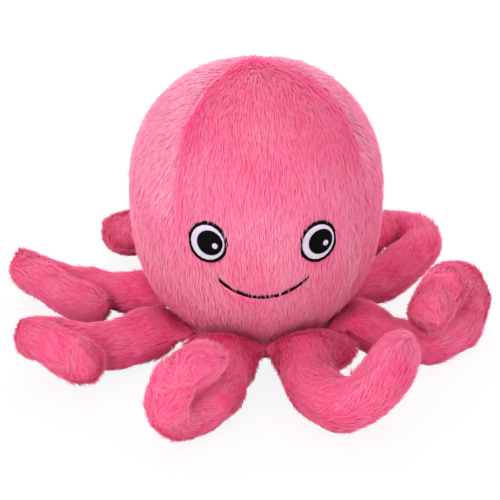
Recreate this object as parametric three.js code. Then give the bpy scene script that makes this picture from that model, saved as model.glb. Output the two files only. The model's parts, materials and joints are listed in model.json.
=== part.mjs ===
import * as THREE from 'three';
import { mergeVertices } from 'three/addons/utils/BufferGeometryUtils.js';

// Plush octopus sitting on its base panel. Millimetres, +Z up, the face looks along -Y.
// The origin is the middle of the base panel's flat underside. Left and right are the viewer's.

// Head: four plush gores sewn over a ball of stuffing. Sizes are taken over the pile.
const headHeight = 163;
const headRadius = 71;
const widestHeight = 92;
const seamRadius = 47;
const seamHeight = 17;
const headEdgeRise = 1.4;
const crownRoundness = 2.1;
const cheekRoundness = 2.6;
const crownHoleRadius = 2;
const crownTiltDegrees = 12;
const crownTiltHeight = 140;
const plushThickness = 3.2;
const seamDipDepth = 1.2;
const seamDipWidth = 7;
const facePanelDegrees = 95;
const facePanelTurnDegrees = 4.5;

// Base panel: a flat disc that the toy sits on, drawn up at its rim to the arms' seam.
const baseFlatRadius = 34;
const baseRimInset = 0.8;
const baseRimDrop = 1.4;

// Arms: eight stuffed tubes, sewn flat into the seam between head and base panel.
const armReach = 100;
const armRadius = 15;
const armRootHalfWidth = 17.5;
const armRootHalfHeight = 1;
const armRootLength = 24;
const stuffingRootHalfHeight = 3.5;
const tableFlatteningDepth = 0.5;

// Embroidery: each eye has a black outline, a white ring, a black pupil and a white highlight.
const eyeHalfWidth = 11.6;
const eyeHalfHeight = 12;
const eyeHeight = 84.8;
const eyeTurnDegrees = 24.8;
const eyeLeanHeight = 0.6;
const eyeOutlineWidth = 1.9;
const pupilRadius = 7.2;
const pupilShift = 1.3;
const highlightRadius = 1.6;
const highlightShift = 3;
const highlightDrop = 1.4;
const mouthTurnDegrees = 20.6;
const mouthHeight = 53.4;
const mouthCurlHeight = 10.2;
const mouthBend = 2.2;
const mouthLineWidth = 1.6;
const threadThickness = 1;
const faceTurnDegrees = -1.6;

// Clearances between neighbouring pieces
const sewnGap = 0.3;
const rootGap = 0.2;

// Facets
const goreColumns = 8;
const cheekRows = 5;
const crownRows = 8;
const armStations = 18;
const tipSteps = 3;
const halfSides = 4;
const eyeSides = 20;
const mouthSteps = 14;
const rimSteps = 5;

const plushPink = { color: '#ea6f96', roughness: 1, metalness: 0 };
const plushDeepPink = { color: '#e2557f', roughness: 1, metalness: 0 };
const stuffingWhite = { color: '#f1efe9', roughness: 1, metalness: 0 };
const blackThread = { color: '#17141a', roughness: 0.6, metalness: 0 };
const whiteThread = { color: '#efecf1', roughness: 0.5, metalness: 0 };

const radians = THREE.MathUtils.degToRad;
const octopus = new THREE.Group();

// Arm routes in the arm's own frame, as shares of the arm's reach: outwards from the seam,
// sideways, and lift above lying on the table. The last share is of the arm's radius.
const armRouteShares = {
  front_right: [
    [0.15, 0, 0.03, 1], [0.38, -0.14, 0.01, 1.01], [0.7, -0.18, 0.02, 1.02], [0.82, -0.15, 0.055, 0.93],
    [0.89, -0.08, 0.11, 0.94], [0.865, 0.03, 0.195, 0.97], [0.75, 0.185, 0.24, 0.84],
  ],
  right_front: [
    [0.15, 0, 0.03, 1], [0.27, -0.075, 0, 0.83], [0.565, -0.09, 0, 0.845], [0.695, 0.285, 0, 0.795],
    [0.71, 0.335, 0.15, 0.825], [0.625, 0.235, 0.255, 0.82], [0.595, -0.215, 0.275, 0.81],
  ],
  right_rear: [
    [0.15, 0, 0.03, 1], [0.275, -0.04, 0, 0.995], [0.66, 0.035, 0.145, 0.875], [0.71, 0.17, 0.185, 0.83],
    [0.605, 0.285, 0.215, 0.735], [0.325, 0.195, 0.2, 0.75],
  ],
  rear_right: [
    [0.15, 0, 0.03, 1], [0.31, -0.05, 0, 0.92], [0.68, -0.005, 0, 0.86], [0.82, -0.16, 0, 0.8],
    [0.77, -0.28, 0.08, 0.78], [0.58, -0.27, 0.17, 0.77],
  ],
  rear_left: [
    [0.15, 0, 0.03, 1], [0.31, 0.06, 0, 0.92], [0.7, 0.005, 0, 0.86], [0.835, 0.19, 0, 0.8],
    [0.77, 0.32, 0.08, 0.79], [0.58, 0.3, 0.17, 0.78],
  ],
  left_rear: [
    [0.15, 0, 0.03, 1], [0.25, 0.02, 0, 0.93], [0.445, -0.025, 0, 0.765], [0.885, -0.08, 0, 0.77],
    [0.96, -0.005, 0.065, 0.79], [0.92, 0.095, 0.115, 0.8], [0.615, 0.25, 0.08, 0.83],
    [0.49, 0.24, 0.005, 0.9],
  ],
  left_front: [
    [0.15, 0, 0.025, 1], [0.25, 0.04, 0, 0.98], [0.465, 0.02, 0, 0.91], [0.6, -0.12, 0, 0.81],
    [0.71, -0.175, 0.05, 0.75], [0.855, -0.085, 0.12, 0.75], [0.84, 0.065, 0.165, 0.755],
    [0.73, 0.275, 0.1, 0.865],
  ],
  front_left: [
    [0.15, 0, 0.03, 1], [0.38, 0.105, 0.02, 0.94], [0.68, 0.1, 0.02, 0.86], [0.865, -0.005, 0.025, 0.77],
    [0.93, -0.035, 0.115, 0.85], [0.895, -0.01, 0.24, 0.83], [0.73, 0.1, 0.32, 0.745],
  ],
};
const rootGirthShare = 0.72;

// Closed bodies from faces given as functions of two shares from 0 to 1

function bodyFromTriangles(points, triangles) {
  const raw = new THREE.BufferGeometry();
  raw.setAttribute('position', new THREE.Float32BufferAttribute(points.flatMap((p) => p.toArray()), 3));
  raw.setIndex(triangles);
  const merged = mergeVertices(raw);
  const position = merged.getAttribute('position');
  const kept = [];
  let volume = 0;
  for (let i = 0; i < merged.index.count; i += 3) {
    const [a, b, c] = [merged.index.getX(i), merged.index.getX(i + 1), merged.index.getX(i + 2)];
    if (a !== b && b !== c && c !== a) {
      kept.push(a, b, c);
      const [p, q, r] = [a, b, c].map((n) => new THREE.Vector3().fromBufferAttribute(position, n));
      volume += p.dot(q.cross(r));
    }
  }
  merged.setIndex(volume < 0 ? kept.reverse() : kept);
  merged.computeVertexNormals();
  return merged;
}

// Fabric or thread: an outer face, an inner face and the edges between them. A ring has no side edges.
function sheetBody(outer, inner, across, along, ring = false) {
  const columns = ring ? across : across + 1;
  const points = [];
  const triangles = [];
  for (const face of [outer, inner]) {
    for (let j = 0; j <= along; j += 1) {
      for (let i = 0; i < columns; i += 1) {
        points.push(face(i / across, j / along));
      }
    }
  }
  const outside = (i, j) => j * columns + (i % columns);
  const inside = (i, j) => (along + 1) * columns + outside(i, j);
  const quad = (a, b, c, d) => triangles.push(a, b, c, a, c, d);
  for (let j = 0; j < along; j += 1) {
    for (let i = 0; i < across; i += 1) {
      quad(outside(i, j), outside(i + 1, j), outside(i + 1, j + 1), outside(i, j + 1));
      quad(inside(i, j), inside(i, j + 1), inside(i + 1, j + 1), inside(i + 1, j));
    }
    if (!ring) {
      quad(outside(0, j), outside(0, j + 1), inside(0, j + 1), inside(0, j));
      quad(outside(across, j), inside(across, j), inside(across, j + 1), outside(across, j + 1));
    }
  }
  for (let i = 0; i < across; i += 1) {
    quad(outside(i + 1, 0), outside(i, 0), inside(i, 0), inside(i + 1, 0));
    quad(outside(i, along), outside(i + 1, along), inside(i + 1, along), inside(i, along));
  }
  return bodyFromTriangles(points, triangles);
}

// Stuffing: rings of points, closed at both ends by a face that has drawn in to one point.
function stuffedBody(face, around, along) {
  const points = [];
  const triangles = [];
  for (let j = 0; j <= along; j += 1) {
    for (let i = 0; i < around; i += 1) {
      points.push(face(i / around, j / along));
    }
  }
  const at = (i, j) => j * around + (i % around);
  for (let j = 0; j < along; j += 1) {
    for (let i = 0; i < around; i += 1) {
      triangles.push(at(i, j), at(i + 1, j), at(i + 1, j + 1), at(i, j), at(i + 1, j + 1), at(i, j + 1));
    }
  }
  return bodyFromTriangles(points, triangles);
}

function addPiece(parent, name, geometry, finish) {
  const piece = new THREE.Mesh(geometry, new THREE.MeshStandardMaterial(finish));
  piece.name = name;
  parent.add(piece);
}

// Head outline: an egg with its widest ring above the face and a narrower neck at the seam

const headEdgeHeight = seamHeight + headEdgeRise;
const crownRise = headHeight - widestHeight;
const cheekDrop = widestHeight - headEdgeHeight;
const neckDrawIn = 1 - (seamRadius / headRadius) ** cheekRoundness;

function headOutline(height) {
  const above = height >= widestHeight;
  const power = above ? crownRoundness : cheekRoundness;
  const reach = above ? crownRise : cheekDrop;
  const weight = above ? 1 : neckDrawIn;
  const rise = Math.abs(height - widestHeight) / reach;
  const radiusShare = Math.max(0, 1 - weight * rise ** power) ** (1 / power);
  const normal = new THREE.Vector2(radiusShare ** (power - 1) / headRadius,
    Math.sign(height - widestHeight) * weight * rise ** (power - 1) / reach).normalize();
  return { radius: headRadius * radiusShare, normal };
}

// The four seams: two beside the face panel, and two that share the rest of the way round equally
const facePanelAngle = radians(facePanelDegrees);
const faceMiddle = radians(facePanelTurnDegrees);
const otherPanelAngle = (2 * Math.PI - facePanelAngle) / 3;
const goreNames = ['face_panel', 'right_panel', 'back_panel', 'left_panel'];
const gores = goreNames.map((name, n) => {
  const first = faceMiddle - facePanelAngle / 2;
  const start = n === 0 ? first : first + facePanelAngle + (n - 1) * otherPanelAngle;
  return { name, start, end: start + (n === 0 ? facePanelAngle : otherPanelAngle) };
});

function turnBetween(a, b) {
  return Math.abs(Math.atan2(Math.sin(a - b), Math.cos(a - b)));
}

function dipAt(azimuth, radius) {
  const nearest = Math.min(...gores.map((gore) => turnBetween(azimuth, gore.start))) * radius;
  return seamDipDepth * Math.exp(-((nearest / seamDipWidth) ** 2));
}

// The seams meet a little behind the top, so the gores lean back above the widest ring
const headMiddle = new THREE.Vector3(0, 0, widestHeight);
const headCrosswise = new THREE.Vector3(1, 0, 0);

function headPoint(azimuth, height, depth) {
  const { radius, normal } = headOutline(height);
  const inset = depth + dipAt(azimuth, radius);
  const out = Math.max(0, radius - normal.x * inset);
  const lean = radians(-crownTiltDegrees) * THREE.MathUtils.smoothstep(height, widestHeight, crownTiltHeight);
  return new THREE.Vector3(out * Math.sin(azimuth), -out * Math.cos(azimuth), height - normal.y * inset)
    .sub(headMiddle)
    .applyAxisAngle(headCrosswise, lean)
    .add(headMiddle);
}

// Heights of the head's rows: even down the cheeks, and by even turns over the crown
function headRowHeight(share, topRadius) {
  const cheekShare = cheekRows / (cheekRows + crownRows);
  if (share <= cheekShare) {
    return headEdgeHeight + cheekDrop * (share / cheekShare);
  }
  const lastTurn = Math.acos((topRadius / headRadius) ** (crownRoundness / 2));
  const turn = lastTurn * (share - cheekShare) / (1 - cheekShare);
  return widestHeight + crownRise * Math.sin(turn) ** (2 / crownRoundness);
}

// Columns lie closer together beside a seam, where the panel dips
function goreAzimuth(gore, share, seamTurn) {
  const eased = (1 - Math.cos(Math.PI * share)) / 2;
  return THREE.MathUtils.lerp(gore.start + seamTurn, gore.end - seamTurn, eased);
}

function goreBody(gore) {
  const face = (depth) => (u, v) => {
    const height = headRowHeight(v, crownHoleRadius);
    const seamTurn = Math.asin(sewnGap / 2 / headOutline(height).radius);
    return headPoint(goreAzimuth(gore, u, seamTurn), height, depth);
  };
  return sheetBody(face(0), face(plushThickness), goreColumns, cheekRows + crownRows);
}

// Base panel: its flat underside is what the toy sits on, and its rim rises to the seam

const rimRadius = seamRadius - baseRimInset;
const rimHeight = seamHeight - baseRimDrop;

function rimPoints(depth) {
  const points = [];
  for (let n = 0; n <= rimSteps; n += 1) {
    const turn = (Math.PI / 2) * (n / rimSteps);
    const radius = baseFlatRadius + (rimRadius - baseFlatRadius - depth) * Math.sin(turn);
    points.push(new THREE.Vector2(radius, depth + (rimHeight - depth) * (1 - Math.cos(turn))));
  }
  return points;
}

function basePanelBody() {
  const outline = [
    new THREE.Vector2(0, 0),
    ...rimPoints(0),
    ...rimPoints(plushThickness).reverse(),
    new THREE.Vector2(0, plushThickness),
  ];
  const lathe = new THREE.LatheGeometry(outline, goreColumns * gores.length).rotateX(Math.PI / 2);
  const points = [];
  const position = lathe.getAttribute('position');
  for (let n = 0; n < position.count; n += 1) {
    points.push(new THREE.Vector3().fromBufferAttribute(position, n));
  }
  return bodyFromTriangles(points, [...lathe.index.array]);
}

// Head stuffing: fills the gores and the base panel, and stops short of both by the sewn gap
function headStuffingBody() {
  const depth = plushThickness + sewnGap;
  const rim = rimPoints(depth);
  const floorRows = rim.length;
  const headRows = cheekRows + crownRows;
  const rows = floorRows + headRows + 1;
  const columns = goreColumns * gores.length;
  const face = (u, v) => {
    const column = Math.round(u * columns);
    const gore = gores[Math.floor(column / goreColumns)];
    const azimuth = goreAzimuth(gore, (column % goreColumns) / goreColumns, 0);
    const row = Math.round(v * rows);
    if (row === 0) {
      return new THREE.Vector3(0, 0, depth);
    }
    if (row <= floorRows) {
      const { x, y } = rim[row - 1];
      return new THREE.Vector3(x * Math.sin(azimuth), -x * Math.cos(azimuth), y);
    }
    return headPoint(azimuth, headRowHeight((row - floorRows - 1) / headRows, 0), depth);
  };
  return stuffedBody(face, columns, rows);
}

// Arms: stations along a route, each with its centre, directions and half sizes

function armSections(routeShares) {
  const root = new THREE.Vector3(rootGap, 0, 0);
  const girths = [rootGirthShare, ...routeShares.map((place) => place[3])].map((share) => share * armRadius);
  const places = routeShares.map(([out, side, lift], n) => {
    const lyingHeight = girths[n + 1] - tableFlatteningDepth - seamHeight;
    return new THREE.Vector3(out * armReach, side * armReach, lyingHeight + lift * armReach);
  });
  const route = new THREE.CatmullRomCurve3([root, ...places], false, 'centripetal');
  const sections = [];
  let side = new THREE.Vector3(0, 1, 0);
  for (let n = 0; n <= armStations; n += 1) {
    const share = n / armStations;
    const ahead = route.getTangentAt(share);
    side = side.clone().addScaledVector(ahead, -side.dot(ahead)).normalize();
    const up = new THREE.Vector3().crossVectors(ahead, side);
    const spot = route.getUtoTmapping(share) * (girths.length - 1);
    const before = Math.min(Math.floor(spot), girths.length - 2);
    const girth = THREE.MathUtils.lerp(girths[before], girths[before + 1], spot - before);
    const swell = THREE.MathUtils.smoothstep(share * route.getLength(), 0, armRootLength);
    sections.push({
      centre: route.getPointAt(share),
      ahead,
      side,
      up,
      halfWidth: THREE.MathUtils.lerp(armRootHalfWidth, girth, swell),
      halfHeight: THREE.MathUtils.lerp(armRootHalfHeight, girth, swell),
    });
  }
  return sections;
}

// A point of an arm's section, at a depth under the pile. Past the last station the tip rounds off.
function armPoint(sections, row, turn, depth, half = 0) {
  const section = sections[Math.min(row, armStations)];
  const tipTurn = (Math.PI / 2) * Math.max(0, row - armStations) / tipSteps;
  const width = Math.max(0, section.halfWidth - depth) * Math.cos(tipTurn);
  const height = Math.max(0, (section.halfHeight - depth) * Math.cos(tipTurn) - Math.abs(half));
  const point = section.centre.clone()
    .addScaledVector(section.ahead, (section.halfWidth - depth) * Math.sin(tipTurn))
    .addScaledVector(section.side, width * Math.cos(turn))
    .addScaledVector(section.up, half + height * Math.sin(turn));
  point.z = Math.max(point.z, -seamHeight);
  return point;
}

const armRows = armStations + tipSteps;

// One of the two plush halves of an arm. They meet at a seam along both sides.
function armSkinBody(sections, facing) {
  const half = facing * sewnGap / 2;
  const firstTurn = facing > 0 ? 0 : -Math.PI;
  const face = (depth) => (u, v) => {
    return armPoint(sections, Math.round(v * armRows), firstTurn + Math.PI * u, depth, half);
  };
  return sheetBody(face(0), face(plushThickness), halfSides, armRows);
}

// The stuffing starts where the flat sewn root has opened enough to hold it
function armStuffingBody(sections) {
  const depth = plushThickness + sewnGap;
  const start = sections.findIndex((section) => section.halfHeight > depth + stuffingRootHalfHeight);
  const rows = armRows - start + 1;
  const face = (u, v) => {
    const row = Math.round(v * rows);
    if (row === 0) {
      return sections[start].centre.clone();
    }
    return armPoint(sections, start + row - 1, 2 * Math.PI * u, depth);
  };
  return stuffedBody(face, 2 * halfSides, rows);
}

function addArm(name, azimuthDegrees) {
  const arm = new THREE.Group();
  const azimuth = radians(azimuthDegrees);
  arm.position.set(seamRadius * Math.sin(azimuth), -seamRadius * Math.cos(azimuth), seamHeight);
  arm.rotation.z = azimuth - Math.PI / 2;
  const sections = armSections(armRouteShares[name]);
  addPiece(arm, `${name}_arm_top`, armSkinBody(sections, 1), plushPink);
  addPiece(arm, `${name}_arm_underside`, armSkinBody(sections, -1), plushDeepPink);
  addPiece(arm, `${name}_arm_stuffing`, armStuffingBody(sections), stuffingWhite);
  octopus.add(arm);
}

// Embroidery: thread laid on the face panel, at places given across and up the face

function threadFace(azimuth, loopIn, loopOut, lift) {
  return (u, v) => {
    const place = loopIn(2 * Math.PI * u).lerp(loopOut(2 * Math.PI * u), v);
    const { radius } = headOutline(place.y);
    return headPoint(azimuth + place.x / radius, place.y, -lift);
  };
}

function addThread(name, azimuth, loopIn, loopOut, finish) {
  const top = threadFace(azimuth, loopIn, loopOut, sewnGap + threadThickness);
  const bottom = threadFace(azimuth, loopIn, loopOut, sewnGap);
  addPiece(octopus, name, sheetBody(top, bottom, eyeSides, 1, true), finish);
}

function addEye(name, facing) {
  const loop = (x, y, halfWidth, halfHeight) => (turn) => {
    return new THREE.Vector2(x + halfWidth * Math.cos(turn), y + halfHeight * Math.sin(turn));
  };
  const azimuth = radians(faceTurnDegrees + facing * eyeTurnDegrees);
  const y = eyeHeight - facing * eyeLeanHeight;
  const glintX = pupilShift + highlightShift;
  const glintY = y - highlightDrop;
  const whiteHalfWidth = eyeHalfWidth - eyeOutlineWidth;
  const whiteHalfHeight = eyeHalfHeight - eyeOutlineWidth;
  const around = (r) => loop(pupilShift, y, r, r);
  const highlight = (r) => loop(glintX, glintY, r, r);
  addThread(`${name}_eye_outline`, azimuth, loop(0, y, whiteHalfWidth + sewnGap, whiteHalfHeight + sewnGap),
    loop(0, y, eyeHalfWidth, eyeHalfHeight), blackThread);
  addThread(`${name}_eye_white`, azimuth, around(pupilRadius + sewnGap),
    loop(0, y, whiteHalfWidth, whiteHalfHeight), whiteThread);
  addThread(`${name}_eye_pupil`, azimuth, highlight(highlightRadius + sewnGap), around(pupilRadius), blackThread);
  addThread(`${name}_eye_highlight`, azimuth, highlight(0), highlight(highlightRadius), whiteThread);
}

function addMouth() {
  const face = (lift) => (u, v) => {
    const share = 2 * v - 1;
    const height = mouthHeight + mouthCurlHeight * Math.abs(share) ** mouthBend + mouthLineWidth * (u - 1 / 2);
    return headPoint(radians(faceTurnDegrees + mouthTurnDegrees * share), height, -lift);
  };
  const body = sheetBody(face(sewnGap + threadThickness), face(sewnGap), 1, mouthSteps);
  addPiece(octopus, 'mouth_stitching', body, blackThread);
}

// Assembly

for (const gore of gores) {
  addPiece(octopus, gore.name, goreBody(gore), plushPink);
}
addPiece(octopus, 'base_panel', basePanelBody(), plushDeepPink);
addPiece(octopus, 'head_stuffing', headStuffingBody(), stuffingWhite);
addEye('left', -1);
addEye('right', 1);
addMouth();

const armNames = Object.keys(armRouteShares);
const armPitchDegrees = 360 / armNames.length;
armNames.forEach((name, n) => addArm(name, armPitchDegrees * (n + 1 / 2)));

export default octopus;
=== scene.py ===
import heapq
import json
import math

import bmesh
import bpy
import numpy as np
from mathutils import Matrix, Vector
from mathutils.bvhtree import BVHTree
from mathutils.kdtree import KDTree


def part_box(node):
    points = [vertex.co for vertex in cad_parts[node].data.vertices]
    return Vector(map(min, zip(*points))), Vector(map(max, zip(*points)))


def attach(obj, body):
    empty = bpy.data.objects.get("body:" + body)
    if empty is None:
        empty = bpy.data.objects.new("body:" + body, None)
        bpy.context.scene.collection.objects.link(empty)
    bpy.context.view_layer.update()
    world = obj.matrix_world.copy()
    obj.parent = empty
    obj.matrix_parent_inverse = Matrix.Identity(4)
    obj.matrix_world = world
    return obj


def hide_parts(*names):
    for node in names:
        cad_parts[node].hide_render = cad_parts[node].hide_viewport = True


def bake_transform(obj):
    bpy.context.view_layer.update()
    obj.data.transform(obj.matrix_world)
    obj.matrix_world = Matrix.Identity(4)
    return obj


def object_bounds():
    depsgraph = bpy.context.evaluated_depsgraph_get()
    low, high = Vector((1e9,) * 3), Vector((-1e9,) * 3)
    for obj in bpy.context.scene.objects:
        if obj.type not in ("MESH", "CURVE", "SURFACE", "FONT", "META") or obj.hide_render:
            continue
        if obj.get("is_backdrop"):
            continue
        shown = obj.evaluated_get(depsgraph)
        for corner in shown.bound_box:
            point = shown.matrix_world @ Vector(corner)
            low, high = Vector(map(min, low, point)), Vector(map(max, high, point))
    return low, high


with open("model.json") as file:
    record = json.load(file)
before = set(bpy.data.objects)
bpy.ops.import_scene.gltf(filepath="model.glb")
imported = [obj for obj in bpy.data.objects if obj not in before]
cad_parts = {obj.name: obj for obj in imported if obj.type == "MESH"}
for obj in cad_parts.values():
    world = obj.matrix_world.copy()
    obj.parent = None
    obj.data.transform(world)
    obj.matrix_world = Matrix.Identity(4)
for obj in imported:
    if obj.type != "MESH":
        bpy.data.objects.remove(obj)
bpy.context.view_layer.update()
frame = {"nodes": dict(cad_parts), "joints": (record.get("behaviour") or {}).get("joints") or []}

# Head gores
# Four tapered panels of long-pile pink plush, sewn edge to edge from the crown down to the
# arms. Each is a knitted backing that the stuffing keeps tight, with a pile about 8 mm long
# that is brushed down on the face, and down and outwards on the other three.

table_height = 0.0002
weld_distance = 0.00001
seam_edge_angle = math.radians(55)
cloth_levels = 2
seam_reach = 0.0006
smallest_length = 1e-12
least_direction = 0.5


def select_only(piece):
    bpy.ops.object.select_all(action="DESELECT")
    piece.select_set(True)
    bpy.context.view_layer.objects.active = piece


def places_of(mesh):
    places = np.empty(len(mesh.vertices) * 3)
    mesh.vertices.foreach_get("co", places)
    return places.reshape(-1, 3)


def unit(vectors):
    lengths = np.linalg.norm(vectors, axis=-1, keepdims=True)
    return vectors / np.maximum(lengths, smallest_length)


def copy_solid(node, name):
    """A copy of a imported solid, bare of materials and still in loose triangles."""
    piece = bpy.data.objects.new(name, frame["nodes"][node].data.copy())
    bpy.context.scene.collection.objects.link(piece)
    piece.data.materials.clear()
    return piece


def round_off(piece, levels):
    rounding = piece.modifiers.new("rounding", "SUBSURF")
    rounding.levels = levels
    rounding.render_levels = levels
    bpy.ops.object.modifier_apply(modifier=rounding.name)


def cut_cloth(node, name):
    """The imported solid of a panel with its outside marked, rounded all over but at its cut edges."""
    cloth = copy_solid(node, name)
    select_only(cloth)
    bpy.ops.object.mode_set(mode="EDIT")
    bpy.ops.mesh.select_all(action="SELECT")
    bpy.ops.mesh.remove_doubles(threshold=weld_distance)
    bpy.ops.mesh.tris_convert_to_quads(
        face_threshold=seam_edge_angle, shape_threshold=seam_edge_angle
    )
    bpy.ops.mesh.select_all(action="DESELECT")
    bpy.ops.mesh.edges_select_sharp(sharpness=seam_edge_angle)
    bpy.ops.transform.edge_crease(value=1)
    bpy.ops.object.mode_set(mode="OBJECT")
    mark_outside(cloth)
    round_off(cloth, cloth_levels)
    return cloth


def mark_outside(cloth):
    """Of the patches that the cut edges part, the largest is the outside. It gets material 1."""
    shape = bmesh.new()
    shape.from_mesh(cloth.data)
    waiting = set(shape.faces)
    patches = []
    while waiting:
        patch = [waiting.pop()]
        for face in patch:
            for edge in face.edges:
                if edge.calc_face_angle(0) < seam_edge_angle:
                    beside = [f for f in edge.link_faces if f in waiting]
                    waiting.difference_update(beside)
                    patch.extend(beside)
        patches.append(patch)
    outside = max(patches, key=lambda patch: sum(face.calc_area() for face in patch))
    for face in shape.faces:
        face.material_index = 0
    for face in outside:
        face.material_index = 1
    shape.to_mesh(cloth.data)
    shape.free()


def outside_triangles(mesh):
    mesh.calc_loop_triangles()
    corners = np.empty(len(mesh.loop_triangles) * 3, int)
    mesh.loop_triangles.foreach_get("vertices", corners)
    faces = np.empty(len(mesh.loop_triangles), int)
    mesh.loop_triangles.foreach_get("polygon_index", faces)
    finish = np.empty(len(mesh.polygons), int)
    mesh.polygons.foreach_get("material_index", finish)
    return corners.reshape(-1, 3)[finish[faces] == 1]


def on_outside(directions):
    """The numbers of the points that have a direction, which only those on the outside do."""
    return np.flatnonzero(np.linalg.norm(directions, axis=1) > least_direction)


def outward_directions(cloths):
    """Each point's direction away from the outside of its cloth, shared by both sides of a seam."""
    pile_sides = []
    for cloth in cloths:
        places = places_of(cloth.data)
        triangles = outside_triangles(cloth.data)
        a, b, c = (places[triangles[:, n]] for n in range(3))
        facing = np.cross(b - a, c - a)
        directions = np.zeros_like(places)
        for n in range(3):
            np.add.at(directions, triangles[:, n], facing)
        pile_sides.append(unit(directions))
    places = np.concatenate([places_of(cloth.data) for cloth in cloths])
    directions = np.concatenate(pile_sides)
    outside = on_outside(directions)
    tree = KDTree(len(outside))
    for n in outside:
        tree.insert(places[n], n)
    tree.balance()
    shared = directions.copy()
    for n in outside:
        beside = [other for _, other, _ in tree.find_range(places[n], seam_reach)]
        shared[n] = directions[beside].sum(axis=0)
    ends = np.cumsum([len(side) for side in pile_sides])[:-1]
    return np.split(unit(shared), ends)


def move_outside(cloth, outward, distance):
    """Moves the outside of the cloth along its outward directions, but not below the table."""
    places = places_of(cloth.data) + outward * distance
    places[:, 2] = np.maximum(places[:, 2], table_height)
    cloth.data.vertices.foreach_set("co", places.ravel())
    cloth.data.update()


ripple_waves = 9
ripple_rates = (0.6, 1.5)


def ripple(points, length, seed):
    """A smooth wandering value, about -1 to 1, that changes over the given length."""
    chance = np.random.default_rng(seed)
    ways = unit(chance.normal(size=(ripple_waves, 3)))
    waves = ways * 2 * math.pi / length * chance.uniform(*ripple_rates, size=(ripple_waves, 1))
    starts = chance.uniform(0, 2 * math.pi, size=ripple_waves)
    return np.sin(points @ waves.T + starts).sum(axis=1) / math.sqrt(ripple_waves)


def along_cloth(ways, outward):
    """Turns ways until they run along the cloth."""
    return unit(ways - outward * (ways * outward).sum(axis=1, keepdims=True))


pile_depth = 0.0009
pile_length = 0.0082
strands_per_square_metre = 1.83e6
root_sink = 0.0005
root_scatter = 0.0004
strand_radius = 0.00028
strand_length_shares = (0.72, 1.15)
strand_bend_share = 0.36
strand_rise = math.radians(27)
strand_lie = math.radians(6)
sway_waves = ((0.16, 0.03), (0.10, 0.009))
sway_scatter = 0.07
lift_wave = 0.07
lift_wave_length = 0.012
lift_scatter = 0.10
strands_per_tuft = 10
tuft_pull = 0.08
tip_pull_to_bend_pull = 3
tuft_tone = 0.04
strand_tone = 0.04
tone_limits = (0.02, 0.95)


def grow_pile(
    cloth, directions, flow, tone, seed, length=pile_length, rise=strand_rise, density=1, trim=None
):
    """Plants strands on the outside of the cloth, combed along flow, as one mesh with it."""
    chance = np.random.default_rng(seed)
    places = places_of(cloth.data)
    triangles = outside_triangles(cloth.data)
    a, b, c = (places[triangles[:, n]] for n in range(3))
    areas = np.linalg.norm(np.cross(b - a, c - a), axis=1) / 2
    count = int(areas.sum() * strands_per_square_metre * density)
    chosen = triangles[chance.choice(len(triangles), count, p=areas / areas.sum())]
    shares = chance.dirichlet((1, 1, 1), count)[:, :, None]

    def spread(values):
        return (values[chosen] * shares).sum(axis=1)

    outward = unit(spread(directions))
    roots = spread(places) - outward * root_sink
    roots += chance.normal(scale=root_scatter, size=(count, 3))
    lengths = length * chance.uniform(*strand_length_shares, size=(count, 1))
    tones = spread(tone[:, None])[:, 0]
    combed = along_cloth(spread(flow), outward)
    sway = sum(size * ripple(roots, reach, seed + n) for n, (size, reach) in enumerate(sway_waves, 1))
    combed = combed + np.cross(outward, combed) * sway[:, None]
    combed = unit(combed + chance.normal(scale=sway_scatter, size=(count, 3)))
    lift_seed = seed + len(sway_waves) + 1
    lift = 1 + lift_wave * ripple(roots, lift_wave_length, lift_seed)[:, None]
    lift += chance.normal(scale=lift_scatter, size=(count, 1))
    start = unit(combed * math.cos(rise) + outward * math.sin(rise) * lift)
    finish = unit(combed * math.cos(strand_lie) + outward * math.sin(strand_lie) * lift)
    bends = roots + start * lengths * strand_bend_share
    tips = bends + finish * lengths * (1 - strand_bend_share)
    tufts, heads = gather_tufts(roots, chance)
    bends += (mean_by(tufts, heads, bends)[tufts] - bends) * tuft_pull / tip_pull_to_bend_pull
    tips += (mean_by(tufts, heads, tips)[tufts] - tips) * tuft_pull
    tones += tuft_tone * chance.normal(size=heads)[tufts] + strand_tone * chance.normal(size=count)
    if trim:
        keep, shorten = trim(roots, tips, chance)
        bends = roots + (bends - roots) * shorten[:, None]
        tips = roots + (tips - roots) * shorten[:, None]
        roots, bends, tips, outward, tones = (x[keep] for x in (roots, bends, tips, outward, tones))
    for points in (roots, bends, tips):
        points[:, 2] = np.maximum(points[:, 2], table_height)
    add_strands(cloth, roots, bends, tips, outward, np.clip(tones, *tone_limits), tone)


def gather_tufts(roots, chance):
    """Strands stand in tufts round drawn middles. Gives each strand's tuft and how many there are."""
    heads = max(1, len(roots) // strands_per_tuft)
    tree = KDTree(heads)
    for n, spot in enumerate(roots[chance.choice(len(roots), heads, replace=False)]):
        tree.insert(spot, n)
    tree.balance()
    return np.array([tree.find(root)[1] for root in roots]), heads


def mean_by(group, groups, values):
    total = np.stack([np.bincount(group, values[:, n], groups) for n in range(3)], axis=1)
    return total / np.maximum(np.bincount(group, minlength=groups), 1)[:, None]


# A strand has five points: 0 is its root, 1 to 3 go round its bend and 4 is its tip.
strand_sides = 3
strand_flatness = 0.5
strand_roundness = 0.4
upper_faces = [(0, 2, 1), (0, 1, 3), (1, 2, 4), (3, 1, 4)]
lower_faces = [(0, 3, 2), (2, 3, 4)]
strand_map_width = 0.024
strand_map_places = np.array((0.5, 0, 0.5, 1, 0.5))
# The backing takes the pinks part of the way up from the root, so it carries some of the roots' painted
# shade.
backing_map_reach = 0.4
backing_map_length = 0.03
backing_map_width = 0.01


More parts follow.
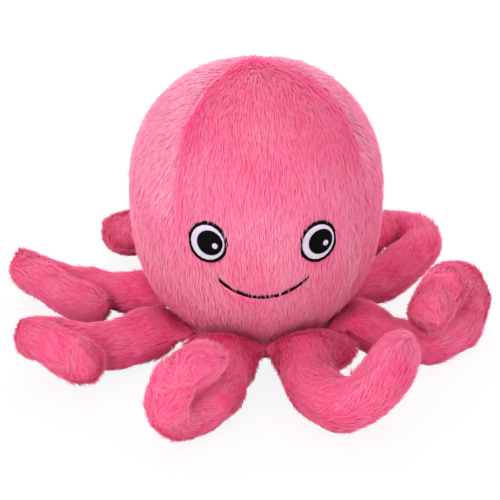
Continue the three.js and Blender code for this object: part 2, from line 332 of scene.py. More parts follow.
def add_strands(cloth, roots, bends, tips, outward, tones, backing_tone):
    """Each strand is a thin closed spindle, bent once. The map runs from root to tip and by tone."""
    count = len(roots)
    along = unit(tips - roots)
    across = unit(np.cross(along, outward))
    above = np.cross(across, along)
    turns = [2 * math.pi * n / strand_sides for n in range(strand_sides)]
    ring = [across * math.sin(turn) + above * math.cos(turn) * strand_flatness for turn in turns]
    points = np.stack([roots, *(bends + side * strand_radius for side in ring), tips], axis=1)
    corners = np.array(upper_faces + lower_faces).ravel()
    reach = np.array([0, *[strand_bend_share] * strand_sides, 1])
    strand_map = np.empty((count, len(corners), 2))
    strand_map[:, :, 0] = reach[corners]
    strand_map[:, :, 1] = tones[:, None] + (strand_map_width * strand_map_places)[corners]
    upper = [outward, *(outward + side * strand_roundness for side in ring), outward]
    lower = [-above, *(side - above for side in ring), -above]
    facing = np.concatenate([
        unit(np.stack(upper, axis=1))[:, np.ravel(upper_faces)],
        unit(np.stack(lower, axis=1))[:, np.ravel(lower_faces)],
    ], axis=1)

    places = places_of(cloth.data)
    backing_corners = np.empty(len(cloth.data.loops), int)
    cloth.data.loops.foreach_get("vertex_index", backing_corners)
    backing_sizes = np.empty(len(cloth.data.polygons), int)
    cloth.data.polygons.foreach_get("loop_total", backing_sizes)
    strand_corners = len(places) + np.arange(count)[:, None] * points.shape[1] + corners[None]
    strand_sizes = np.full(count * len(upper_faces + lower_faces), 3)
    all_places = np.concatenate([places, points.reshape(-1, 3)])
    all_corners = np.concatenate([backing_corners, strand_corners.ravel()])
    all_sizes = np.concatenate([backing_sizes, strand_sizes])
    plush = bpy.data.meshes.new(cloth.name)
    plush.vertices.add(len(all_places))
    plush.vertices.foreach_set("co", all_places.ravel())
    plush.loops.add(len(all_corners))
    plush.loops.foreach_set("vertex_index", all_corners)
    plush.polygons.add(len(all_sizes))
    plush.polygons.foreach_set("loop_start", np.concatenate([[0], np.cumsum(all_sizes)[:-1]]))
    plush.update(calc_edges=True)
    plush.polygons.foreach_set("use_smooth", np.ones(len(all_sizes), bool))
    backing_facing = np.zeros((len(backing_corners), 3))
    plush.normals_split_custom_set(np.concatenate([backing_facing, facing.reshape(-1, 3)]))
    nap = plush.uv_layers.new(name="OFBake")
    backing = backing_map(backing_corners, backing_tone)
    nap.uv.foreach_set("vector", np.concatenate([backing, strand_map.reshape(-1, 2)]).ravel())
    cloth.data = plush


def backing_map(corners, tone):
    """The map of the backing: part of the way up the pile, with a little room for each face."""
    order = np.arange(len(corners))
    reach = backing_map_reach + backing_map_length * (order % 2)
    return np.stack([reach, tone[corners] + backing_map_width * (order % 3)], axis=1)


def seen_colour(red, green, blue):
    """A colour as a screen shows it, 0 to 255, as the linear colour that a shader takes."""
    return tuple((((c / 255) + 0.055) / 1.055) ** 2.4 for c in (red, green, blue)) + (1,)


def set_inputs(node, values):
    for name, value in values.items():
        node.inputs[name].default_value = value


def new_finish(name, values):
    """A new material, with the values of its main shader."""
    material = bpy.data.materials.new(name)
    material.use_nodes = True
    set_inputs(material.node_tree.nodes["Principled BSDF"], values)
    return material


# Each row of pinks runs from the root of a strand to its tip: the deeper roots are painted shade deep in
# the pile, the paler tips painted light.
deep_pinks = ((250, 46, 112), (252, 72, 132), (254, 102, 154))
pale_pinks = ((252, 112, 156), (254, 150, 182), (255, 190, 212))
middle_pink_reach = 0.45
pile_finish = {
    "Roughness": 0.7,
    "Specular IOR Level": 0.02,
    "Sheen Weight": 0.2,
    "Sheen Roughness": 0.45,
    "Sheen Tint": seen_colour(255, 120, 165),
    "Subsurface Weight": 0.3,
    "Subsurface Radius": (1, 0.3, 0.45),
    "Subsurface Scale": 0.002,
}


def plush_material():
    """Polyester pile dyed pink, paler in some tufts, with painted shade deepening it at the backing and
    roots and painted light paling it at the tips.
    """
    material = new_finish("pink_plush", pile_finish)
    nodes, links = material.node_tree.nodes, material.node_tree.links
    nap = nodes.new("ShaderNodeUVMap")
    nap.uv_map = "OFBake"
    split = nodes.new("ShaderNodeSeparateXYZ")
    links.new(nap.outputs["UV"], split.inputs["Vector"])
    blend = nodes.new("ShaderNodeMix")
    blend.data_type = "RGBA"
    links.new(split.outputs["Y"], blend.inputs["Factor"])
    for side, (root, middle, tip) in (("A", deep_pinks), ("B", pale_pinks)):
        ramp = nodes.new("ShaderNodeValToRGB")
        ramp.color_ramp.elements[0].color = seen_colour(*root)
        ramp.color_ramp.elements[1].color = seen_colour(*tip)
        ramp.color_ramp.elements.new(middle_pink_reach).color = seen_colour(*middle)
        links.new(split.outputs["X"], ramp.inputs["Fac"])
        links.new(ramp.outputs["Color"], blend.inputs[side])
    links.new(blend.outputs["Result"], nodes["Principled BSDF"].inputs["Base Color"])
    return material


pink_plush = plush_material()


def finish_plush(plush, node):
    plush.data.materials.append(pink_plush)
    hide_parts(node)


sweep_low = 0.075
sweep_high = 0.135
low_sweep_share = 0.3
seam_sweep_loss = 0.45


def crown_share(places):
    """0 low on the head and 1 on its crown."""
    return np.clip((places[:, 2] - sweep_low) / (sweep_high - sweep_low), 0, 1)


def gore_flow(cloth, outward, sweep, near_seam):
    """The pile's direction: down, and swept the given way, most of all near the crown."""
    high = crown_share(places_of(cloth.data))[:, None]
    swept = low_sweep_share + (1 - low_sweep_share) * high
    swept = swept * (1 - seam_sweep_loss * near_seam[:, None])
    return along_cloth(np.array((0, 0, -1)) + np.array(sweep) * swept, outward)


def tree_of(places):
    tree = KDTree(len(places))
    for n, place in enumerate(places):
        tree.insert(place, n)
    tree.balance()
    return tree


def distance_to_others(cloth, cloths):
    """How far each point of a cloth lies from the nearest other cloth."""
    tree = tree_of(np.concatenate([places_of(other.data) for other in cloths if other != cloth]))
    return np.array([tree.find(place)[2] for place in places_of(cloth.data)])


crown_overlap = 0.0006
crown_reach = 0.006


def close_crown(cloths, front, rear):
    """Draws the gores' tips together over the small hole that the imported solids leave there."""
    front_places = places_of(front.data)
    tree = tree_of(places_of(rear.data))
    found = [tree.find(place) for place in front_places]
    nearest = min(range(len(found)), key=lambda n: found[n][2])
    hole_radius = found[nearest][2] / 2 + crown_overlap
    crown = (front_places[nearest] + np.array(found[nearest][0])) / 2
    for cloth in cloths:
        way = places_of(cloth.data) - crown
        far = np.maximum(np.linalg.norm(way, axis=1, keepdims=True), smallest_length)
        kept = np.maximum(1 - hole_radius * np.exp(-((far / crown_reach) ** 2)) / far, 0)
        cloth.data.vertices.foreach_set("co", (crown + way * kept).ravel())
        cloth.data.update()


eye_names = ("left", "right")


def embroidered_discs():
    """Middle, direction to the right and half sizes of each eye, from its stitched outline."""
    discs = []
    for side in eye_names:
        low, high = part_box(f"{side}_eye_outline")
        middle = np.array((low + high) / 2)
        facing = unit(middle * (1, 1, 0))
        right = np.array([-facing[1], facing[0], 0])
        places = places_of(frame["nodes"][f"{side}_eye_outline"].data) - middle
        discs.append((middle, right, np.abs(places @ right).max(), (high.z - low.z) / 2))
    return discs


def disc_share(points, disc):
    """How far points lie from the middle of an eye, as seen from the front: 1 at its edge."""
    middle, right, half_width, half_height = disc
    return np.hypot((points - middle) @ right / half_width, (points[:, 2] - middle[2]) / half_height)


mouth_step = 0.001


def mouth_line():
    """Places along the stitched mouth, from its left end to its right end."""
    places = places_of(frame["nodes"]["mouth_stitching"].data)
    order = np.argsort(np.round(places[:, 0] / mouth_step))
    return places[order]


# Shares of an eye's reach: no strand is rooted within the first, nor within the second if its
# tip is over the eye, and the tips of those further out are cut off somewhere between the last.
bare_share = 0.87
lapped_share = 0.92
lap_shares = (0.83, 0.91)
trim_steps = 10
shortest_trim = 0.1

# How bare of pile the mouth is at each share of its length, and how far below and above its line.
mouth_low_reach = 0.0012
mouth_high_reach = 0.0095
mouth_clearance = 0.0009
mouth_spans = (0, 0.05, 0.33, 0.40, 0.70, 0.76, 0.86, 0.91, 1)
mouth_bareness = (0.85, 1, 1, 0.2, 0.15, 0.85, 0.75, 0.25, 0.15)


def trim_face(roots, tips, chance):
    """The pile is cut away under the eyes, laps over their edges, and is clipped over the mouth."""
    keep = np.ones(len(roots), bool)
    shorten = np.ones(len(roots))
    for disc in embroidered_discs():
        covered = disc_share(roots, disc)
        keep &= covered >= np.where(disc_share(tips, disc) > 1, bare_share, lapped_share)
        lap = chance.uniform(*lap_shares, len(roots))
        for share in np.linspace(1, shortest_trim, trim_steps):
            reached = disc_share(roots + (tips - roots) * shorten[:, None], disc)
            shorten[(covered >= lapped_share) & (reached < lap)] = share
    line = mouth_line()
    above = roots[:, 2] - np.interp(roots[:, 0], line[:, 0], line[:, 2], left=np.nan, right=np.nan)
    near = (above > -mouth_low_reach) & (above < mouth_high_reach) & (roots[:, 1] < 0)
    span = (roots[:, 0] - line[0, 0]) / (line[-1, 0] - line[0, 0])
    bareness = np.interp(span, mouth_spans, mouth_bareness)
    cut = near & (chance.uniform(size=len(roots)) < bareness)
    reach = np.linalg.norm(tips - roots, axis=1)
    clipped = np.clip((above[cut] - mouth_clearance) / reach[cut], shortest_trim, 1)
    shorten[cut] = np.minimum(shorten[cut], clipped)
    return keep, shorten


# A tone is 0 for the deep pinks and 1 for the pale ones. Each panel's tone and its change towards the
# crown and seams are painted light and shade: paler on the face and on the left panel where the key lamp
# falls, deeper at the face's crown and seams, and paler on the side panels up there.
gores = {
    "face_panel": {"sweep": (0, -0.4, 0), "tone": 0.63, "crown_light_and_shade": -0.25, "seam_light_and_shade": -0.3},
    "right_panel": {"sweep": (1, 0.3, 0), "tone": 0.5, "crown_light_and_shade": 0.14, "seam_light_and_shade": 0.2},
    "back_panel": {"sweep": (0, 0.4, 0), "tone": 0.5, "crown_light_and_shade": 0, "seam_light_and_shade": 0},
    "left_panel": {"sweep": (-1, 0.3, 0), "tone": 0.58, "crown_light_and_shade": 0.26, "seam_light_and_shade": 0.25},
}
tone_ripple = 0.08
gore_tone_length = 0.035
gore_tone_seed = 40
gore_pile_seed = 100
seam_tone_reach = 0.009

panels = [cut_cloth(gore, f"{gore}_plush") for gore in gores]
close_crown(panels, front=panels[0], rear=panels[2])
for seed, (gore, panel, outward) in enumerate(zip(gores, panels, outward_directions(panels))):
    look = gores[gore]
    places = places_of(panel.data)
    high = crown_share(places)
    near_seam = np.exp(-((distance_to_others(panel, panels) / seam_tone_reach) ** 2))
    # The ripple is the cloth's own uneven tone; the crown and seam terms are painted light and shade.
    tone = look["tone"] + tone_ripple * ripple(places, gore_tone_length, gore_tone_seed + seed)
    tone += high * look["crown_light_and_shade"] + high**2 * look["seam_light_and_shade"] * near_seam
    move_outside(panel, outward, -pile_depth)
    flow = gore_flow(panel, outward, look["sweep"], near_seam)
    trim = trim_face if gore == "face_panel" else None
    grow_pile(panel, outward, flow, tone, gore_pile_seed * (seed + 1), trim=trim)
    finish_plush(panel, gore)
    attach(panel, "body")

# Embroidery
# The eyes and the mouth are machine embroidered on the face panel before it is sewn. Each eye has
# a black satin-stitched outline, a white ring, a black pupil filled with rows of stitches and a
# white highlight. Every patch is a layer of underlay thread with the top stitches laid over it.

filament_waves_per_metre = 6000
filament_relief = 0.00003
filament_relief_strength = 0.4
thread_gloss = 0.05


def add_relief(material, pattern_values, relief_values):
    """Fine relief from a noise pattern that is fixed to the piece. Gives the pattern."""
    nodes, links = material.node_tree.nodes, material.node_tree.links
    place = nodes.new("ShaderNodeTexCoord")
    pattern = nodes.new("ShaderNodeTexNoise")
    set_inputs(pattern, pattern_values)
    relief = nodes.new("ShaderNodeBump")
    set_inputs(relief, relief_values)
    links.new(place.outputs["Object"], pattern.inputs["Vector"])
    links.new(pattern.outputs["Fac"], relief.inputs["Height"])
    links.new(relief.outputs["Normal"], nodes["Principled BSDF"].inputs["Normal"])
    return pattern


def thread_material(name, colour, roughness):
    """Twisted embroidery thread, with the fine unevenness of its filaments as relief."""
    material = new_finish(name, {
        "Base Color": seen_colour(*colour),
        "Roughness": roughness,
        "Specular IOR Level": thread_gloss,
    })
    relief = {"Strength": filament_relief_strength, "Distance": filament_relief}
    add_relief(material, {"Scale": filament_waves_per_metre}, relief)
    return material


black_thread = thread_material("black_thread", (5, 4, 6), roughness=0.7)
white_thread = thread_material("white_thread", (204, 196, 212), roughness=0.6)

thread_radius = 0.00027
thread_pitch = 0.00044
stitch_sides = 6
stitch_rings = 4
bpy.ops.object.select_all(action="DESELECT")
bpy.ops.mesh.primitive_uv_sphere_add(segments=stitch_sides, ring_count=stitch_rings, radius=1)
bpy.ops.transform.rotate(value=math.pi / 2, orient_axis="Y", center_override=(0, 0, 0))
bpy.ops.object.transform_apply(location=False, rotation=True, scale=True)
bpy.ops.object.shade_smooth()
model_stitch = bpy.context.object

stuffing_low, stuffing_high = (np.array(corner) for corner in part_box("head_stuffing"))
head_middle = (stuffing_low + stuffing_high) / 2


def surface_of(mesh):
    """A mesh as a tree of faces, in which a ray or a place finds the surface."""
    return BVHTree.FromPolygons([v.co for v in mesh.vertices], [tuple(p.vertices) for p in mesh.polygons])


face_surface = surface_of(frame["nodes"]["face_panel"].data)
patch_top_height = 0.0008
patch_top_sink = 0.0019
patch_foot_sink = 0.0026


def underlay(node):
    """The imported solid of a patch, let down into the pile as far as the backing."""
    patch = copy_solid(node, f"{node}_thread")
    select_only(patch)
    bpy.ops.object.mode_set(mode="EDIT")
    bpy.ops.mesh.select_all(action="SELECT")
    bpy.ops.mesh.remove_doubles(threshold=weld_distance)
    bpy.ops.object.mode_set(mode="OBJECT")
    for vertex in patch.data.vertices:
        height = face_surface.find_nearest(vertex.co)[3]
        sink = patch_top_sink if height > patch_top_height else patch_foot_sink
        vertex.co -= Vector(unit(np.array(vertex.co) - head_middle)) * sink
    return patch


probe_height = 0.006
probe_step = 0.00012


def on_patch(patch_surface, place):
    """Where a place lies on the patch below it, or None beside the patch."""
    outward = unit(place - head_middle)
    start = Vector(place + outward * probe_height)
    hit = patch_surface.ray_cast(start, Vector(-outward), 2 * probe_height)[0]
    return None if hit is None else np.array(hit)


def stretches(patch_surface, start, way, reach):
    """The stretches of a line over the patch, each as its first and last place on the patch."""
    found = []
    begun = None
    for distance in np.arange(0, reach + probe_step, probe_step):
        place = on_patch(patch_surface, start + way * distance)
        if place is not None:
            begun = place if begun is None else begun
            last = place
        elif begun is not None:
            found.append((begun, last))
            begun = None
    return found


def lay_stitch(first, last):
    """One stitch from the first place to the last, as a copy of the model stitch."""
    stitch = bpy.data.objects.new("stitch", model_stitch.data.copy())
    bpy.context.scene.collection.objects.link(stitch)
    middle = (first + last) / 2
    along = unit(last - first)
    outward = unit(middle - head_middle)
    across = unit(np.cross(outward, along))
    outward = np.cross(along, across)
    half = max(np.linalg.norm(last - first) / 2, thread_radius)
    columns = (along * half, across * thread_radius, outward * thread_radius, middle)
    stitch.data.transform(Matrix(np.vstack([np.stack(columns, axis=1), (0, 0, 0, 1)])))
    return stitch


longest_stitch = 0.0042
row_shifts = 3
cut_margin = 0.12


def lay_rows(patch_surface, lines):
    """Stitches along every line. A long stretch is split, at places that shift from line to line."""
    stitches = []
    for n, (start, way, reach) in enumerate(lines):
        for first, last in stretches(patch_surface, start, way, reach):
            length = np.linalg.norm(last - first)
            cuts = [0.0, 1.0]
            if length > longest_stitch:
                shift = (n % row_shifts) / row_shifts
                steps = np.arange(shift, length / longest_stitch + 1) * longest_stitch / length
                cuts = [0.0, *(cut for cut in steps if cut_margin < cut < 1 - cut_margin), 1.0]
            for a, b in zip(cuts, cuts[1:]):
                stitches.append(lay_stitch(first + (last - first) * a, first + (last - first) * b))
    return stitches


def embroider(node, lines, thread):
    patch = underlay(node)
    stitches = lay_rows(surface_of(patch.data), lines)
    select_only(patch)
    for stitch in stitches:
        stitch.select_set(True)
    bpy.ops.object.join()
    patch.data.materials.clear()
    patch.data.materials.append(thread)
    for face in patch.data.polygons:
        face.material_index = 0
    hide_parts(node)
    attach(patch, "body")


spoke_overrun = 1.2


def spokes(middle, right, up, inner, outer):
    """Lines that fan out from a middle, one thread apart at the outer reach."""
    count = int(2 * math.pi * outer / thread_pitch)
    turns = [2 * math.pi * n / count for n in range(count)]
    ways = [right * math.cos(turn) + up * math.sin(turn) for turn in turns]
    return [(middle + way * inner, way, outer * spoke_overrun - inner) for way in ways]


def upright_rows(middle, right, up, reach):
    """Parallel lines up the face, one thread apart."""
    offsets = np.arange(-reach, reach, thread_pitch)
    return [(middle + right * offset - up * reach, up, 2 * reach) for offset in offsets]


def patch_frame(node):
    """The middle of a round patch, its directions to the right and up, and how far it reaches."""
    low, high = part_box(node)
    middle = np.array((low + high) / 2)
    outward = unit(middle - head_middle)
    right = unit(np.cross((0, 0, 1), outward))
    reach = np.linalg.norm(np.array(high - low) * (1, 1, 0)) / 2
    return middle, right, np.cross(outward, right), reach


# These are shares of the reach of the patch that the stitches start from.
outline_start = 0.5
ring_start = 0.7
ring_end = 1.5
row_overrun = 1.1

for side in eye_names:
    middle, right, up, reach = patch_frame(f"{side}_eye_outline")
    outline_lines = spokes(middle, right, up, reach * outline_start, reach)
    embroider(f"{side}_eye_outline", outline_lines, black_thread)
    middle, right, up, reach = patch_frame(f"{side}_eye_pupil")
    ring_lines = spokes(middle, right, up, reach * ring_start, reach * ring_end)
    embroider(f"{side}_eye_white", ring_lines, white_thread)
    pupil_lines = upright_rows(middle, right, up, reach * row_overrun)
    embroider(f"{side}_eye_pupil", pupil_lines, black_thread)
    middle, right, up, reach = patch_frame(f"{side}_eye_highlight")
    highlight_lines = upright_rows(middle, right, up, reach * row_overrun)
    embroider(f"{side}_eye_highlight", highlight_lines, white_thread)

mouth_row_height = 0.004
places_per_mouth_step = 4
upward = np.array((0, 0, 1.0))
line = mouth_line()
mouth_length = np.linalg.norm(np.diff(line[::places_per_mouth_step], axis=0), axis=1).sum()
spans = np.linspace(0, 1, int(mouth_length / thread_pitch))
line_spans = np.linspace(0, 1, len(line))
mouth_places = np.stack([np.interp(spans, line_spans, line[:, n]) for n in range(3)], axis=1)
mouth_starts = mouth_places - upward * mouth_row_height / 2
mouth_lines = [(start, upward, mouth_row_height) for start in mouth_starts]
embroider("mouth_stitching", mouth_lines, black_thread)
bpy.data.objects.remove(model_stitch)

# Base panel
# A round plush disc that closes the head below and that the toy sits on. It is cut from the
# same cloth, with the pile pressed flat by the weight, and its rim holds the roots of the arms.

base_pile_length = 0.004
base_pile_depth = 0.0009
base_pile_density = 0.6
base_pile_seed = 500
base_tone = 0.4
base = cut_cloth("base_panel", "base_panel_plush")
base_places = places_of(base.data)
base_outward = outward_directions([base])[0]
base_flow = unit(base_places * (1, 1, 0))
base_tones = np.full(len(base_places), base_tone)
move_outside(base, base_outward, -base_pile_depth)
grow_pile(
    base, base_outward, base_flow, base_tones, base_pile_seed, base_pile_length, density=base_pile_density
)
finish_plush(base, "base_panel")
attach(base, "body")

# Stuffing
# One ball of siliconised polyester fibre fills the head, and a roll of it fills each arm past
# the flat sewn root. It is pushed in by hand through a gap in the seam before that is closed.

fibre_levels = 1
fibre_waves_per_metre = 900
fibre_detail = 4
fibre_relief = 0.0004
fibre_shade = (214, 210, 202)
fibre_light = (244, 242, 236)
fibre_finish = {"Roughness": 0.9, "Sheen Weight": 0.3}


def fibre_material():
    """Off-white fibre, matt and clouded, with relief from the same clouds."""
    material = new_finish("stuffing_fibre", fibre_finish)
    nodes, links = material.node_tree.nodes, material.node_tree.links
    clouds = {"Scale": fibre_waves_per_metre, "Detail": fibre_detail}
    fibres = add_relief(material, clouds, {"Distance": fibre_relief})
    tint = nodes.new("ShaderNodeValToRGB")
    tint.color_ramp.elements[0].color = seen_colour(*fibre_shade)
    tint.color_ramp.elements[1].color = seen_colour(*fibre_light)
    links.new(fibres.outputs["Fac"], tint.inputs["Fac"])
    links.new(tint.outputs["Color"], nodes["Principled BSDF"].inputs["Base Color"])
    return material


stuffing_fibre = fibre_material()


def add_stuffing(node):
    stuffing = copy_solid(node, f"{node}_fibre")
    select_only(stuffing)
    bpy.ops.object.mode_set(mode="EDIT")
    bpy.ops.mesh.select_all(action="SELECT")
    bpy.ops.mesh.remove_doubles(threshold=weld_distance)
    bpy.ops.mesh.tris_convert_to_quads()
    bpy.ops.object.mode_set(mode="OBJECT")
    round_off(stuffing, fibre_levels)
    bpy.ops.object.shade_smooth()
    stuffing.data.materials.append(stuffing_fibre)
    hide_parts(node)
    return stuffing


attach(add_stuffing("head_stuffing"), "body")

# Arms
# Eight stuffed tubes. Each is two strips of plush sewn together along both sides, turned, filled,
# and caught flat in the seam between head and base panel.
# The pile is brushed along the arm and stands out past its tip like the hairs of a brush.

fold_gap = (0, 0.011, 0.024)
fold_bulge = (0, 0.0048, 0)
fold_probe_start = 0.0004
fold_smoothing = 4


def bulge_into_folds(halves, outwards):
    """Stuffing presses the cloth out into the gap wherever an arm is folded over on itself."""
    places = [places_of(half.data) for half in halves]
    second = outside_triangles(halves[1].data) + len(places[0])
    triangles = np.concatenate([outside_triangles(halves[0].data), second])
    corners = [tuple(map(int, triangle)) for triangle in triangles]
    skin = BVHTree.FromPolygons([Vector(place) for place in np.concatenate(places)], corners)
    bulges = []
    for half, own_places, outward in zip(halves, places, outwards):
        bulge = np.zeros(len(own_places))
        for n in on_outside(outward):
            start = Vector(own_places[n] + outward[n] * fold_probe_start)
            gap = skin.ray_cast(start, Vector(outward[n]), fold_gap[-1])[3]
            bulge[n] = 0 if gap is None else np.interp(gap, fold_gap, fold_bulge)
        ends = np.array([tuple(edge.vertices) for edge in half.data.edges])
        for _ in range(fold_smoothing):
            total = np.bincount(ends[:, 0], bulge[ends[:, 1]], len(bulge))
            total += np.bincount(ends[:, 1], bulge[ends[:, 0]], len(bulge))
            bulge = (bulge + total) / (1 + np.bincount(ends.ravel(), minlength=len(bulge)))
        bulges.append(bulge)
    return bulges


front_right_fold = (0.0485, -0.0605, 0.015)
between_front_arms = (-0.0035, -0.089, 0.012)
between_left_arms = (-0.0805, -0.0044, 0.018)
right_front_curl = (0.134, -0.022, 0.026)
left_rear_tip = (-0.147, 0.034, 0.028)

# Where the real toy's arms bulge towards a place beside them, or are slack where the distance is
# below zero: the arm, the place, how far around it the cloth moves, and how far it moves.
gap_fills = [
    ("front_right", front_right_fold, 0.018, 0.013),
    ("front_right", between_front_arms, 0.016, -0.0035),
    ("front_left", between_front_arms, 0.016, -0.0045),
    ("left_front", between_left_arms, 0.014, 0.009),
    ("left_rear", between_left_arms, 0.014, 0.009),
    ("right_front", right_front_curl, 0.020, 0.003),
    ("left_rear", left_rear_tip, 0.018, 0.0025),
]
largest_gap_share = 0.9


def press_into_gap(places, outward, middle, reach, distance):
    """How far the stuffing presses the cloth out towards a place that it faces."""
    way = np.array(middle) - places
    far = np.linalg.norm(way, axis=1)
    facing = np.clip((unit(way) * outward).sum(axis=1), 0, 1)
    return np.minimum(distance * np.exp(-((far / reach) ** 2)), far * largest_gap_share) * facing


root_reach = 0.0015


def walk_from_root(cloth, hinge, axis):
    """How far each point of the cloth lies from the sewn root, measured along the cloth."""
    places = places_of(cloth.data)
    beside = [[] for _ in places]
    for edge in cloth.data.edges:
        a, b = edge.vertices
        length = float(np.linalg.norm(places[a] - places[b]))
        beside[a].append((b, length))
        beside[b].append((a, length))
    off = places - hinge
    off = off - np.outer(off @ axis, axis)
    distance = np.where(np.linalg.norm(off, axis=1) < root_reach, 0.0, np.inf)
    queue = [(0.0, int(n)) for n in np.flatnonzero(distance == 0)]
    while queue:
        reached, n = heapq.heappop(queue)
        if reached > distance[n]:
            continue
        for other, length in beside[n]:
            if reached + length < distance[other]:
                distance[other] = reached + length
                heapq.heappush(queue, (reached + length, other))
    return distance


centre_step = 0.002
centre_blur = 0.004
tip_margin = 0.012


def arm_directions(halves, walks):
    """The direction from root to tip at each point, along the line through the arm's middle."""
    places = np.concatenate([places_of(half.data) for half in halves])
    walked = np.concatenate(walks)
    stops = np.arange(0, walked.max(), centre_step)
    weight = np.exp(-(((stops[:, None] - walked[None]) / centre_blur) ** 2))
    centres = weight @ places / weight.sum(axis=1, keepdims=True)
    ahead = unit(np.gradient(centres, axis=0))
    flows = []
    for walk in walks:
        within = np.minimum(walk, walked.max() - tip_margin)
        ways = np.stack([np.interp(within, stops, ahead[:, n]) for n in range(3)], axis=1)
        flows.append(unit(ways))
    return flows


# Each row of these says how much at each distance from the sewn root.
arm_swell_reach = (0, 0.004, 0.010, 0.022, 0.032)
arm_swell_height = (0, 0.0006, 0.0008, 0.0003, -0.0002)
arm_widening = (0, 0.0022, 0.0034, 0.0007, 0)
# The arms' tones are painted shade: deeper than the head's, and deepest at the root under the head.
arm_tone_reach = (0, 0.05, 0.11)
arm_shade_tones = (0.12, 0.22, 0.32)
root_half_width = 0.0175

# What single arms have of their own, and what the others have.
own_swell = {"right_rear": -0.0016, "left_rear": -0.0006, "front_left": -0.0003}
own_widening = {"front_left": 1.8, "front_right": 1.8}
usual_widening = 1
own_fold_fill = {"front_right": 1.7}
usual_fold_fill = 0.7

arm_dimple_length = 0.028
arm_dimple_depth = 0.0009
arm_dimple_seed = 40
arm_pile_length = 0.0066
arm_strand_rise = math.radians(32)
arm_pile_seed = 1000
arm_seed_step = 20
half_seed_step = 10
arm_tone_length = 0.02
arm_tone_seed = 60
# The underside half is made deeper by painted shade.
underside_painted_shade = 0.05
half_names = ("top", "underside")


def shape_arm(arm, halves, walks, outwards, hinge, axis, seed):
    """Swells, widens and dimples the two halves of an arm, and fills its folds and gaps."""
    fold_fill = own_fold_fill.get(arm, usual_fold_fill)
    widening = own_widening.get(arm, usual_widening)
    gaps = [gap[1:] for gap in gap_fills if gap[0] == arm]
    for half, walk, outward, bulge in zip(halves, walks, outwards, bulge_into_folds(halves, outwards)):
        places = places_of(half.data)
        dimple = arm_dimple_depth * ripple(places, arm_dimple_length, arm_dimple_seed + seed)
        past_root = np.clip(walk / arm_swell_reach[-1], 0, 1)
        swell = np.interp(walk, arm_swell_reach, arm_swell_height) + bulge * fold_fill
        swell += (dimple + own_swell.get(arm, 0)) * past_root
        swell += sum(press_into_gap(places, outward, *gap) for gap in gaps)
        move_outside(half, outward, swell[:, None])
        beside = (places_of(half.data) - hinge) @ axis / root_half_width
        spread_out = np.interp(walk, arm_swell_reach, arm_widening) * widening
        move_outside(half, np.outer(beside, axis), spread_out[:, None])


arm_lifts = [joint for joint in frame["joints"] if joint["name"].endswith("_arm_lift")]
for seed, joint in enumerate(arm_lifts):
    arm = joint["child"]
    hinge = np.array(joint["pos_m"], float)
    axis = unit(np.array(joint["axis"], float))
    halves = [cut_cloth(f"{arm}_{name}", f"{arm}_{name}_plush") for name in half_names]
    walks = [walk_from_root(half, hinge, axis) for half in halves]
    outwards = outward_directions(halves)
    shape_arm(arm.removesuffix("_arm"), halves, walks, outwards, hinge, axis, seed)
    flows = arm_directions(halves, walks)
    for n, (half, walk, flow) in enumerate(zip(halves, walks, flows)):
        # Painted shade deepens each half near the root and on the underside; the ripple is the cloth's
        # own uneven tone.
        tone = np.interp(walk, arm_tone_reach, arm_shade_tones) - underside_painted_shade * n
        tone_seed = arm_tone_seed + 2 * seed + n
        tone = tone + tone_ripple * ripple(places_of(half.data), arm_tone_length, tone_seed)
        pile_seed = arm_pile_seed + arm_seed_step * seed + half_seed_step * n
        grow_pile(half, outwards[n], flow, tone, pile_seed, arm_pile_length, arm_strand_rise)
        finish_plush(half, f"{arm}_{half_names[n]}")
    for piece in (*halves, add_stuffing(f"{arm}_stuffing")):
        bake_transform(piece)

# Floor, light and camera
# A white table top, a broad lamp above left of the face, a weaker one low in front and one
# behind, with the camera a little left of the face and looking down on the toy.

camera_turn = math.radians(-5)
camera_tilt = math.radians(24)
camera_distance = 1.0
aim_height = 0.062
photo_width = 500
focal_pixels = 1770
aim_across_pixels = 6
aim_up_pixels = 17.5
sensor_width = 36

camera_data = bpy.data.cameras.new("camera")
camera_data.sensor_width = sensor_width
camera_data.lens = focal_pixels * sensor_width / photo_width
camera_data.shift_x = -aim_across_pixels / photo_width
camera_data.shift_y = -aim_up_pixels / photo_width
camera = bpy.data.objects.new("camera", camera_data)
bpy.context.scene.collection.objects.link(camera)
back = Vector((
    math.sin(camera_turn) * math.cos(camera_tilt),
    -math.cos(camera_turn) * math.cos(camera_tilt),
    math.sin(camera_tilt),
))
camera.location = Vector((0, 0, aim_height)) + back * camera_distance
camera.rotation_euler = back.to_track_quat("Z", "Y").to_euler()
bpy.context.scene.camera = camera


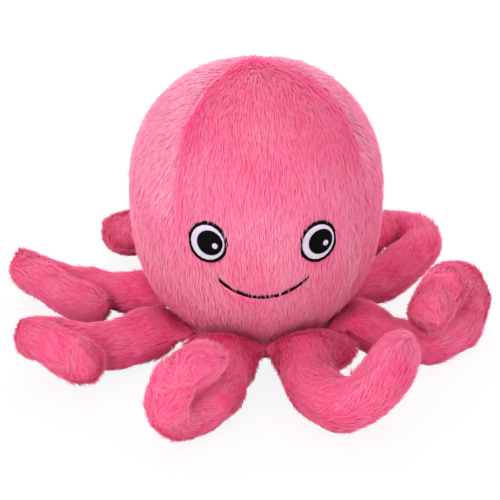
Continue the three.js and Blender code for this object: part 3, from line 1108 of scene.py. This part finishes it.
def show_to_camera(tree, lit, seen, seen_share, output):
    """What the camera sees is the seen shader, by its share, and what lights the toy is the lit one."""
    nodes, links = tree.nodes, tree.links
    rays = nodes.new("ShaderNodeLightPath")
    share = nodes.new("ShaderNodeMath")
    share.operation = "MULTIPLY"
    share.inputs[1].default_value = seen_share
    mix = nodes.new("ShaderNodeMixShader")
    links.new(rays.outputs["Is Camera Ray"], share.inputs[0])
    links.new(share.outputs["Value"], mix.inputs["Fac"])
    links.new(lit.outputs[0], mix.inputs[1])
    links.new(seen.outputs[0], mix.inputs[2])
    links.new(mix.outputs["Shader"], nodes[output].inputs["Surface"])


table_size = 6
table_white = (0.9, 0.9, 0.9, 1)
table_finish = {"Base Color": table_white, "Roughness": 0.9}
table_seen_share = 0.88
bpy.ops.object.select_all(action="DESELECT")
bpy.ops.mesh.primitive_plane_add(size=table_size)
floor = bpy.context.object
floor.name = "floor"
floor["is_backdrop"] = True
table_material = new_finish("white_table", table_finish)
table_nodes = table_material.node_tree.nodes
table_glow = table_nodes.new("ShaderNodeEmission")
table_glow.inputs["Strength"].default_value = 1
table_shader = table_nodes["Principled BSDF"]
show_to_camera(table_material.node_tree, table_shader, table_glow, table_seen_share, "Material Output")
floor.data.materials.append(table_material)

studio_white = (1, 1, 1, 1)
studio_light = 1.07
world = bpy.data.worlds.new("studio")
bpy.context.scene.world = world
world.use_nodes = True
surround = world.node_tree.nodes["Background"]
set_inputs(surround, {"Color": studio_white, "Strength": studio_light})
backdrop = world.node_tree.nodes.new("ShaderNodeBackground")
set_inputs(backdrop, {"Color": studio_white, "Strength": 1})
show_to_camera(world.node_tree, surround, backdrop, 1, "World Output")


def add_lamp(name, place, power, size):
    bpy.ops.object.light_add(type="AREA", location=place)
    lamp = bpy.context.object
    lamp.name = name
    lamp.data.energy = power
    lamp.data.size = size
    to_lamp = Vector(place) - Vector((0, 0, aim_height))
    lamp.rotation_euler = to_lamp.to_track_quat("Z", "Y").to_euler()


add_lamp("key_lamp", place=(-0.7, -1.05, 0.7), power=6, size=1.0)
add_lamp("fill_lamp", place=(-0.1, -1.3, 0.15), power=3.5, size=0.8)
add_lamp("back_lamp", place=(0.1, 1.0, 1.0), power=6, size=0.8)

bpy.context.scene.view_settings.view_transform = "Standard"

low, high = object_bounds()
